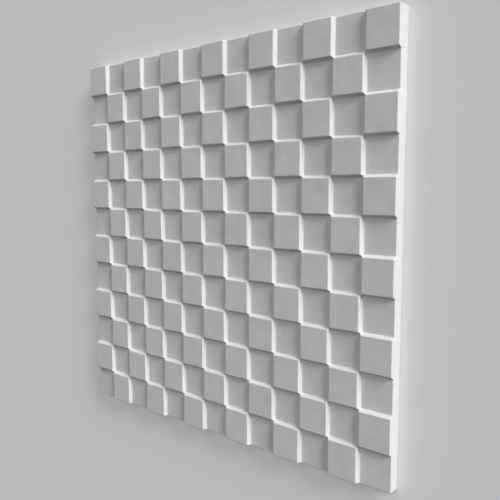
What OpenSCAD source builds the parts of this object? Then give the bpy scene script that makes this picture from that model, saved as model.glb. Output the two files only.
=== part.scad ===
// Cast gypsum wall panel with a chequer of raised blocks and sunk fields, lying on its flat back.
// The origin is in the middle of the back. +Z points out of the face and +Y up the wall.

/* [Panel] */
// Width of the panel on the wall
panel_w = 500; // [300:10:900]
// Height of the panel on the wall
panel_h = 500; // [300:10:900]
// Thickness of the casting behind the sunk fields
slab_t = 14.5; // [8:0.5:30]

/* [Relief] */
// Columns of the chequer, across the panel
columns = 13; // [4:1:16]
// Rows of the chequer, up the panel
rows = 12; // [4:1:16]
// Height of the raised blocks above the sunk fields
relief_h = 4.5; // [2:0.5:10]
// Run of the sloped wall between a raised block and a sunk field, centred on the line between them
wall_run = 2.7; // [1:0.1:10]

/* [Mould rounding] */
// Radius of the rounded edge at the top of each wall and of the hollow at its foot
round_r = 1; // [0.4:0.1:3]

/* [Hidden] */

// Full thickness, and the angle of the walls
panel_t = slab_t + relief_h;
wall_angle = atan2(relief_h, wall_run);
// How far a rounding reaches from the sharp corner that it takes off
round_reach = round_r * tan(wall_angle / 2);
// Flats along each rounding
arc_flats = 3;
arc_angles = [for (k = [0 : arc_flats]) wall_angle * k / arc_flats];

// One side of a block from its top down to the back, for a column or row of the given pitch:
// over the rounded crest, down the slope and out through the hollow at its foot
function block_side(pitch) =
    let (
        crest_x = (pitch - wall_run) / 2 - round_reach,
        foot_x = (pitch + wall_run) / 2 + round_reach
    )
    concat(
        [for (a = arc_angles) [crest_x + round_r * sin(a), panel_t - round_r * (1 - cos(a))]],
        [for (k = [arc_flats : -1 : 0]) let (a = arc_angles[k])
            [foot_x - round_r * sin(a), slab_t + round_r * (1 - cos(a))]],
        [[foot_x, 0]]
    );

// Upright section of one block and the casting below it, about its own middle
module block_section(pitch) {
    side = block_side(pitch);
    other_side = [for (k = [len(side) - 1 : -1 : 0]) [-side[k].x, side[k].y]];
    polygon(concat(side, other_side));
}

// Section of the whole panel with every second step of its length raised, counted from the start.
// A raised block at an end keeps its full height up to the plain outer edge of the panel.
module panel_section(length, count, first) {
    pitch = length / count;
    intersection() {
        square([length, panel_t]);
        union() {
            square([length, slab_t]);
            for (k = [first : 2 : count - 1]) {
                translate([(k + 0.5) * pitch, 0])
                    block_section(pitch);
                if (k == 0)
                    square([pitch / 2, panel_t]);
                if (k == count - 1)
                    translate([length - pitch / 2, 0])
                        square([pitch / 2, panel_t]);
            }
        }
    }
}

// The casting with the blocks of one set of rows: the section across the panel, run up it,
// where it meets the section down the panel, run across it
module block_set(first) {
    translate([-panel_w / 2, panel_h / 2, 0])
        intersection() {
            rotate([90, 0, 0])
                linear_extrude(height = panel_h)
                    panel_section(panel_w, columns, first);
            rotate([90, 0, -90])
                translate([0, 0, -panel_w])
                    linear_extrude(height = panel_w)
                        panel_section(panel_h, rows, first);
        }
}

// Raised blocks fall on even rows and columns, and on odd ones, counted from the top left
module relief_panel() {
    color("whitesmoke")
        union() {
            block_set(0);
            block_set(1);
        }
}

relief_panel();
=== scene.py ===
"""Looks of a cast gypsum wall panel with a chequer relief, lying on its back on a studio floor."""

import functools
import math

import bmesh
import bpy
from mathutils import Matrix, Vector


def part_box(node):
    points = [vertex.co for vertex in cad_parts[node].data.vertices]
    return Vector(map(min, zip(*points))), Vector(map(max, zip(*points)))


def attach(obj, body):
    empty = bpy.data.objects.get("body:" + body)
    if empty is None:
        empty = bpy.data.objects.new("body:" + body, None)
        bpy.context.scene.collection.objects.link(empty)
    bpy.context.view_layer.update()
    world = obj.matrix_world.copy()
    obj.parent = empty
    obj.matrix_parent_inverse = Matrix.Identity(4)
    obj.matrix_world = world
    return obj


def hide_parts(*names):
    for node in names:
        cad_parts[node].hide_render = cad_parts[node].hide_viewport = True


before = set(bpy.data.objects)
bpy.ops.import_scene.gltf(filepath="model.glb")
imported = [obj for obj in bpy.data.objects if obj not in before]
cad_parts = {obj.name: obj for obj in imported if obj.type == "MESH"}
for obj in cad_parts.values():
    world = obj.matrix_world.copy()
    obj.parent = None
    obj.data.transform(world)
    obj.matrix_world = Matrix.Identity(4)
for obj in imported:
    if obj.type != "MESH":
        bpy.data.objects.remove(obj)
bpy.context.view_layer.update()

MM = 0.001
BODY = "root"
NODE = "relief_panel"
WHITE = (1, 1, 1, 1)

low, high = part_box(NODE)
PANEL_WIDTH = high.x - low.x
PANEL_HEIGHT = high.y - low.y
PANEL_THICKNESS = high.z - low.z

# Sizes of the relief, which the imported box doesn't give
COLUMNS = 13
ROWS = 12
RELIEF_HEIGHT = 4.5 * MM
WALL_RUN = 2.7 * MM
ROUND_RADIUS = 1.0 * MM
SLAB_THICKNESS = PANEL_THICKNESS - RELIEF_HEIGHT


def add_object(name, data):
    made = bpy.data.objects.new(name, data)
    bpy.context.collection.objects.link(made)
    return made


def with_modifiers_applied(rough, name):
    """A plain mesh object in place of the rough one, with its modifiers applied."""
    depsgraph = bpy.context.evaluated_depsgraph_get()
    mesh = bpy.data.meshes.new_from_object(rough.evaluated_get(depsgraph))
    bpy.data.objects.remove(rough)
    mesh.name = name
    return add_object(name, mesh)


class Field:
    """A number in a node tree: sums and functions of it add the math nodes that work it out."""

    def __init__(self, recipe, socket):
        self.recipe = recipe
        self.socket = socket

    def math(self, operation, *others):
        node = self.recipe.add("ShaderNodeMath", dict(enumerate((self, *others))), operation=operation)
        return Field(self.recipe, node.outputs[0])

    def __add__(self, other):
        return self.math("ADD", other)

    def __sub__(self, other):
        return self.math("SUBTRACT", other)

    def __rsub__(self, other):
        return self * -1 + other

    def __mul__(self, other):
        return self.math("MULTIPLY", other)

    def __truediv__(self, other):
        return self.math("DIVIDE", other)

    def __pow__(self, other):
        return self.math("POWER", other)

    def __abs__(self):
        return self.math("ABSOLUTE")

    def at_least(self, other):
        return self.math("MAXIMUM", other)

    def at_most(self, other):
        return self.math("MINIMUM", other)

    def sine(self):
        return self.math("SINE")

    def tangent(self):
        return self.math("TANGENT")

    def root(self):
        return self.math("SQRT")

    def sign(self):
        return self.math("SIGN")

    def nearest_whole(self):
        return self.math("ROUND")


class Recipe:
    """A node tree being built."""

    def __init__(self, tree):
        self.tree = tree

    def add(self, kind, inputs=None, **settings):
        """A new node with these settings and inputs."""
        node = self.tree.nodes.new(kind)
        for name, value in settings.items():
            setattr(node, name, value)
        self.feed(node, inputs or {})
        return node

    def feed(self, node, inputs):
        """Links a node's inputs to fields and sockets, or sets them to plain values."""
        for place, value in inputs.items():
            if isinstance(value, Field):
                value = value.socket
            if isinstance(value, bpy.types.NodeSocket):
                self.tree.links.new(value, node.inputs[place])
            else:
                node.inputs[place].default_value = value

    def parts(self, vector):
        """The three numbers of a vector."""
        split = self.add("ShaderNodeSeparateXYZ", {0: vector})
        return [Field(self, output) for output in split.outputs]


# Steps of the surface across half a block, from the line between two blocks to the middle of one
SLOPE_STEPS = 2
ARC_STEPS = 4
FLAT_STEPS = 4
HALF_STEPS = SLOPE_STEPS + ARC_STEPS + FLAT_STEPS
# How fast the steps widen on a flat, and in the half block at the panel's edge
FLAT_WIDENING = 2.2
EDGE_WIDENING = 1.3
# How square the corners of the blocks are: a higher number is squarer
CORNER_SQUARENESS = 6
# Points nearer than this are one point, and no distance that divides is smaller
WELD_REACH = 0.01 * MM
SMALLEST = 0.001 * MM


class Casting(Recipe):
    """Geometry nodes with named inputs, and the values that the inputs get."""

    def __init__(self, name):
        super().__init__(bpy.data.node_groups.new(name, "GeometryNodeTree"))
        self.tree.is_modifier = True
        self.tree.interface.new_socket("Geometry", in_out="OUTPUT", socket_type="NodeSocketGeometry")
        self.values = {}

    def given(self, name, value, kind="NodeSocketFloat"):
        """A named input, which the made object gives this value."""
        socket = self.tree.interface.new_socket(name, in_out="INPUT", socket_type=kind)
        self.values[socket.identifier] = value
        return Field(self, self.add("NodeGroupInput").outputs[name])

    def position(self):
        return self.add("GeometryNodeInputPosition").outputs[0]

    def made(self, name):
        """The mesh that the nodes make, in a new object."""
        maker = add_object(name, bpy.data.meshes.new(name))
        modifier = maker.modifiers.new(name, "NODES")
        modifier.node_group = self.tree
        for identifier, value in self.values.items():
            modifier[identifier] = value
        return with_modifiers_applied(maker, name)


class Wall:
    """Section of the sloped wall between a raised block and a sunk field, about the line between them."""

    def __init__(self, height, run, radius):
        self.radius = radius
        self.angle = height.math("ARCTAN2", run)
        # How far a rounding runs, and how far the whole wall reaches to each side of the line
        self.arc_run = self.angle.sine() * radius
        self.half_run = run / 2 + (self.angle / 2).tangent() * radius

    def step_reach(self, step, half_pitch):
        """How far from the line a step of the surface lies: the steps crowd on the roundings."""
        slope = step.at_most(SLOPE_STEPS) / SLOPE_STEPS * (self.half_run - self.arc_run)
        on_arc = (step - SLOPE_STEPS).at_least(0).at_most(ARC_STEPS) / ARC_STEPS
        arc = self.arc_run - (self.angle - self.angle * on_arc).sine() * self.radius
        on_flat = (step - (SLOPE_STEPS + ARC_STEPS)).at_least(0) / FLAT_STEPS
        flat = on_flat**FLAT_WIDENING * (half_pitch - self.half_run)
        return slope + arc + flat

    def depth(self, from_line):
        """How far the surface has left its flat at this distance from the line."""
        into_wall = (self.half_run - from_line).at_least(0)
        on_arc = into_wall.at_most(self.arc_run)
        round_depth = self.radius - (self.radius * self.radius - on_arc * on_arc).at_least(0).root()
        return round_depth + (into_wall - on_arc) * self.angle.tangent()


class Spacing:
    """Places of the surface's steps along one side of the panel, from a count of blocks along it."""

    def __init__(self, count, blocks, length, wall):
        pitch = length / blocks
        nearest = count.nearest_whole()
        away = count - nearest
        # The nearest line between two blocks, which an end of the panel isn't
        self.line = nearest.at_least(1).at_most(blocks - 1)
        is_inner = abs(nearest - self.line).math("LESS_THAN", 0.5)
        step = abs(away) * (2 * HALF_STEPS)
        at_edge = (step / HALF_STEPS) ** EDGE_WIDENING * pitch / 2
        reach = at_edge + (wall.step_reach(step, pitch / 2) - at_edge) * is_inner
        self.place = nearest * pitch + away.sign() * reach
        self.from_line = self.place - self.line * pitch


def surface_height(across, down, slab, relief, wall):
    """Height of the face: blocks are raised and sunk in turn about the nearest lines inside the panel."""
    near = abs(across.from_line).at_most(abs(down.from_line))
    far = abs(across.from_line).at_least(abs(down.from_line)).at_least(SMALLEST)
    # By a corner both distances count, which rounds it
    softening = ((near / far) ** CORNER_SQUARENESS + 1) ** (1 / CORNER_SQUARENESS)
    parity = 1 - (across.line + down.line).math("FLOORED_MODULO", 2) * 2
    side = across.from_line.sign() * down.from_line.sign() * parity
    return slab + relief / 2 + side * (relief / 2 - wall.depth(near / softening))


def closed_to_back(casting, face):
    """The face with its outer edges drawn down to the back, and the back filled."""
    neighbours = casting.add("GeometryNodeInputMeshEdgeNeighbors").outputs[0]
    # Inputs 2 and 3 of the comparison are its whole numbers
    is_rim = casting.add("FunctionNodeCompare", {2: neighbours, 3: 1}, data_type="INT", operation="EQUAL")
    sides = casting.add(
        "GeometryNodeExtrudeMesh",
        {"Mesh": face, "Selection": is_rim.outputs[0], "Offset Scale": 0},
        mode="EDGES",
    )
    is_foot = sides.outputs["Top"]
    on_back = casting.add(
        "ShaderNodeVectorMath", {0: casting.position(), 1: (1, 1, 0)}, operation="MULTIPLY"
    ).outputs[0]
    lowered = casting.add(
        "GeometryNodeSetPosition",
        {"Geometry": sides.outputs["Mesh"], "Selection": is_foot, "Position": on_back},
    ).outputs[0]
    outline = casting.add("GeometryNodeMeshToCurve", {"Mesh": lowered, "Selection": is_foot})
    back = casting.add("GeometryNodeFillCurve", {"Curve": outline.outputs[0]}, mode="NGONS")
    joined = casting.add("GeometryNodeJoinGeometry", {0: back.outputs[0]})
    casting.feed(joined, {0: lowered})
    welded = casting.add("GeometryNodeMergeByDistance", {0: joined.outputs[0], "Distance": WELD_REACH})
    return welded.outputs[0]


def relief_casting(gypsum):
    """Geometry nodes that build the whole casting from its sizes."""
    casting = Casting("chequer_casting")
    width = casting.given("Width", PANEL_WIDTH)
    height = casting.given("Height", PANEL_HEIGHT)
    slab = casting.given("Slab Thickness", SLAB_THICKNESS)
    relief = casting.given("Relief Height", RELIEF_HEIGHT)
    run = casting.given("Wall Run", WALL_RUN)
    radius = casting.given("Rounding", ROUND_RADIUS)
    columns = casting.given("Columns", COLUMNS, "NodeSocketInt")
    rows = casting.given("Rows", ROWS, "NodeSocketInt")
    finish = casting.given("Finish", gypsum, "NodeSocketMaterial")

    # A flat grid, one unit to a block, whose points move to the places of the steps
    points = {"Vertices X": columns * (2 * HALF_STEPS) + 1, "Vertices Y": rows * (2 * HALF_STEPS) + 1}
    grid = casting.add("GeometryNodeMeshGrid", {"Size X": columns, "Size Y": rows, **points})
    x, y, _ = casting.parts(casting.position())
    wall = Wall(relief, run, radius)
    across = Spacing(x + columns / 2, columns, width, wall)
    down = Spacing(rows / 2 - y, rows, height, wall)
    top = surface_height(across, down, slab, relief, wall)
    place = casting.add(
        "ShaderNodeCombineXYZ",
        {"X": across.place - width / 2, "Y": height / 2 - down.place, "Z": top},
    )
    face = casting.add("GeometryNodeSetPosition", {0: grid.outputs[0], "Position": place.outputs[0]})

    closed = closed_to_back(casting, face.outputs[0])
    realized = casting.add("GeometryNodeRealizeInstances", {0: closed})
    finished = casting.add("GeometryNodeSetMaterial", {0: realized.outputs[0], "Material": finish})
    casting.add("NodeGroupOutput", {0: finished.outputs[0]})
    return casting


# Rounding of the outer arrises, and the angles that tell an arris and a crease from the rest
ARRIS_RADIUS = 0.7 * MM
ARRIS_SEGMENTS = 3
ARRIS_ANGLE = math.radians(75)
CREASE_ANGLE = math.radians(50)


def make_panel(gypsum):
    """The casting as one closed mesh: nodes build it, then its outer arrises are rounded."""
    rough = relief_casting(gypsum).made("rough_panel")
    shape = bmesh.new()
    shape.from_mesh(rough.data)
    bmesh.ops.recalc_face_normals(shape, faces=shape.faces)
    shape.to_mesh(rough.data)
    shape.free()

    arris = rough.modifiers.new("arris", "BEVEL")
    arris.width = ARRIS_RADIUS
    arris.segments = ARRIS_SEGMENTS
    arris.limit_method = "ANGLE"
    arris.angle_limit = ARRIS_ANGLE
    arris.use_clamp_overlap = False
    panel = with_modifiers_applied(rough, "gypsum_relief_panel")
    panel.data.shade_smooth()
    panel.data.set_sharp_from_angle(angle=CREASE_ANGLE)
    return panel


class Finish(Recipe):
    """A material being built: its principled shader, and fields of the patterns on it."""

    def __init__(self, name):
        self.material = bpy.data.materials.new(name)
        self.material.use_nodes = True
        super().__init__(self.material.node_tree)
        self.shader = self.tree.nodes["Principled BSDF"]

    @functools.cached_property
    def place(self):
        """The shaded point, in the object's own coordinates."""
        return self.add("ShaderNodeTexCoord").outputs["Object"]

    def noise(self, grain, detail, place=None):
        """Cloudy noise about zero, from -0.5 to 0.5, whose clouds are one grain across."""
        settings = {"Vector": place or self.place, "Scale": 1 / grain, "Detail": detail}
        return Field(self, self.add("ShaderNodeTexNoise", settings).outputs[0]) - 0.5

    def streaks(self, width, stretch, detail):
        """Noise as above, drawn out along X by the stretch."""
        mapping = self.add("ShaderNodeMapping", {"Vector": self.place, "Scale": (1 / stretch, 1, 1)})
        return self.noise(width, detail, mapping.outputs[0])

    def pits(self, spacing, widest, share):
        """Round pits, one at their middle and zero round them, in a share of cells of this spacing."""
        cells = self.add("ShaderNodeTexVoronoi", {"Vector": self.place, "Scale": 1 / spacing})
        pick, size, _ = self.parts(cells.outputs["Color"])
        radius = (size * (1 - NARROWEST_PIT) + NARROWEST_PIT) * (widest / 2)
        away = Field(self, cells.outputs["Distance"]) * spacing
        return (1 - away / radius).at_least(0).root() * pick.math("LESS_THAN", share)

    def below(self, height, fade):
        """One below this height, and zero above the fade that follows it."""
        _, _, z = self.parts(self.place)
        ends = {"Value": z * -1, "From Min": -height - fade, "From Max": -height}
        ramp = self.add("ShaderNodeMapRange", ends, interpolation_type="SMOOTHSTEP")
        return Field(self, ramp.outputs["Result"])

    def toned(self, colour, tone):
        """The colour with its lightness multiplied by a field."""
        return self.add("ShaderNodeVectorMath", {0: colour, "Scale": tone}, operation="SCALE").outputs[0]

    def bump(self, height):
        """The normal of a surface with this fine relief, in metres."""
        return self.add("ShaderNodeBump", {"Distance": 1, "Height": height}).outputs[0]


# Dry cast gypsum: a warm white, as matte as chalk
GYPSUM_COLOUR = (0.76, 0.757, 0.745)
GYPSUM_ROUGHNESS = 0.86
GYPSUM_SPECULAR = 0.3
# Size and detail of each cloudiness of the casting
CLOUDS = (110 * MM, 3)
BLOTCHES = (16 * MM, 4)
SAG = (26 * MM, 2)
DUST = (2.2 * MM, 3)
GRAIN = (0.9 * MM, 3)
# How much each changes the tone, as a share of it, and the roughness, and raises the surface
CLOUD_TONE = 0.14
BLOTCH_TONE = 0.12
BLOTCH_ROUGHNESS = 0.12
DUST_TONE = 0.08
SAG_RISE = 0.7 * MM
DUST_RISE = 0.075 * MM
GRAIN_RISE = 0.05 * MM
# Air pits: spacing of the cells, widest pit, and share of the cells that hold one. The narrowest
# is a share of the widest. Each pit goes down at its middle, where painted shade darkens it.
LARGE_PITS = (11 * MM, 1.9 * MM, 0.2)
SMALL_PITS = (5 * MM, 0.9 * MM, 0.25)
NARROWEST_PIT = 0.2
PIT_PAINTED_SHADE = -0.3
PIT_RISE = -0.3 * MM
# The screeded back: where it starts to fade and how fast, its own tone and roughness, its streaks
# (width, stretch and detail) and its coarser grain
BACK_HEIGHT = 0.1 * MM
BACK_FADE = 0.3 * MM
BACK_TONE = -0.06
BACK_ROUGHNESS = 0.06
STREAKS = (14 * MM, 8, 2)
STREAK_TONE = 0.16
STREAK_RISE = 0.9 * MM
BACK_GRAIN = (1.6 * MM, 4)
BACK_GRAIN_RISE = 0.25 * MM


def make_gypsum():
    """Dry cast gypsum: matte, faintly mottled, with a fine grain and a few air pits; a screeded back."""
    gypsum = Finish("cast_gypsum")
    blotches = gypsum.noise(*BLOTCHES)
    dust = gypsum.noise(*DUST)
    pits = gypsum.pits(*LARGE_PITS) + gypsum.pits(*SMALL_PITS)
    on_back = gypsum.below(BACK_HEIGHT, BACK_FADE)
    streaks = gypsum.streaks(*STREAKS)

    mottling = gypsum.noise(*CLOUDS) * CLOUD_TONE + blotches * BLOTCH_TONE + dust * DUST_TONE
    # The pits' darkening in the tone is painted shade in their hollows, not a colour of the gypsum
    tone = mottling + 1 + pits * PIT_PAINTED_SHADE + on_back * (streaks * STREAK_TONE + BACK_TONE)
    flats = gypsum.noise(*SAG) * SAG_RISE + dust * DUST_RISE + gypsum.noise(*GRAIN) * GRAIN_RISE
    screed = streaks * STREAK_RISE + gypsum.noise(*BACK_GRAIN) * BACK_GRAIN_RISE
    gypsum.feed(
        gypsum.shader,
        {
            "Base Color": gypsum.toned(GYPSUM_COLOUR, tone),
            "Roughness": blotches * BLOTCH_ROUGHNESS + GYPSUM_ROUGHNESS + on_back * BACK_ROUGHNESS,
            "Specular IOR Level": GYPSUM_SPECULAR,
            "Normal": gypsum.bump(flats + pits * PIT_RISE + on_back * screed),
        },
    )
    return gypsum.material


def seen(recipe):
    """One for rays that see the room itself, directly or in a gloss or a glass, and zero for the rest."""
    path = recipe.add("ShaderNodeLightPath").outputs
    direct, glossy, through = (
        Field(recipe, path[name]) for name in ("Is Camera Ray", "Is Glossy Ray", "Is Transmission Ray")
    )
    return direct.at_least(glossy).at_least(through)


# The floor reaches far past every view, a hair below the back of the panel
FLOOR_REACH = 30
FLOOR_GAP = 0.2 * MM
FLOOR_COLOUR = (0.6, 0.6, 0.6, 1)
FLOOR_ROUGHNESS = 0.9
FLOOR_GLOW = 0.2


def make_floor():
    """A plain pale studio floor that keeps the casting's shadow."""
    pale = Finish("pale_floor")
    pale.feed(
        pale.shader,
        {
            "Base Color": FLOOR_COLOUR,
            "Roughness": FLOOR_ROUGHNESS,
            "Specular IOR Level": 0,
            "Emission Color": WHITE,
            "Emission Strength": seen(pale) * FLOOR_GLOW,
        },
    )
    sides = ((-1, -1), (1, -1), (1, 1), (-1, 1))
    corners = [(x * FLOOR_REACH, y * FLOOR_REACH, -FLOOR_GAP) for x, y in sides]
    floor = add_object("studio_floor", bpy.data.meshes.new("studio_floor"))
    floor.data.from_pydata(corners, [], [range(len(corners))])
    floor.data.materials.append(pale.material)


def aimed(place, target):
    """The matrix of an object at this place that faces the target."""
    turn = (target - place).to_track_quat("-Z", "Y").to_matrix().to_4x4()
    return Matrix.Translation(place) @ turn


# Light of the even room, and the tone that it shows behind the floor, as shares of white
AMBIENT = 0.11
BACKDROP_TONE = 0.55
# Soft lamps: direction from the panel, how wide each looks from it, and its light as a share of
# white. The key is low on the right and towards the top edge, and the fill is high over the face.
LAMPS = {
    "key": ((0.785, 0.594, 0.17), math.radians(28), 1.2),
    "fill": ((0.1, 0.5, 0.86), math.radians(35), 0.21),
}


def light_studio():
    """Two wide soft lamps very far off, in an even pale room."""
    for name, (direction, width, share) in LAMPS.items():
        lamp = add_object(name, bpy.data.lights.new(name, "SUN"))
        lamp.data.angle = width
        # White that faces a lamp of strength pi renders as white
        lamp.data.energy = share * math.pi
        lamp.matrix_world = aimed(Vector(direction), Vector())

    room = bpy.data.worlds.new("room")
    room.use_nodes = True
    bpy.context.scene.world = room
    air = Recipe(room.node_tree)
    strength = seen(air) * (BACKDROP_TONE - AMBIENT) + AMBIENT
    air.feed(room.node_tree.nodes["Background"], {"Color": WHITE, "Strength": strength})


# The photograph's view. The camera stands past the right edge of the face and a little above its
# middle, in panel widths from that middle, and it is turned to the left and tilted down from
# looking straight at the face.
CAMERA_YAW = math.radians(39.67)
CAMERA_PITCH = math.radians(5.66)
CAMERA_PLACE = Vector((1.0372, 0.1356, 1.1032))
CAMERA_LENS = 42.9
CAMERA_SENSOR = 36
CAMERA_NEAR = 0.01


def place_camera():
    """The photograph's camera, which sees the top edge of the face at the top."""
    yaw = Matrix.Rotation(CAMERA_YAW, 4, "Y")
    pitch = Matrix.Rotation(-CAMERA_PITCH, 4, "X")
    camera = add_object("camera", bpy.data.cameras.new("camera"))
    camera.data.sensor_width = CAMERA_SENSOR
    camera.data.lens = CAMERA_LENS
    camera.data.clip_start = CAMERA_NEAR
    middle_of_face = Vector((0, 0, PANEL_THICKNESS))
    camera.matrix_world = Matrix.Translation(CAMERA_PLACE * PANEL_WIDTH + middle_of_face) @ yaw @ pitch
    bpy.context.scene.camera = camera


place_camera()
panel = make_panel(make_gypsum())
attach(panel, BODY)
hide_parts(NODE)
make_floor()
light_studio()
bpy.context.scene.view_settings.view_transform = "Standard"
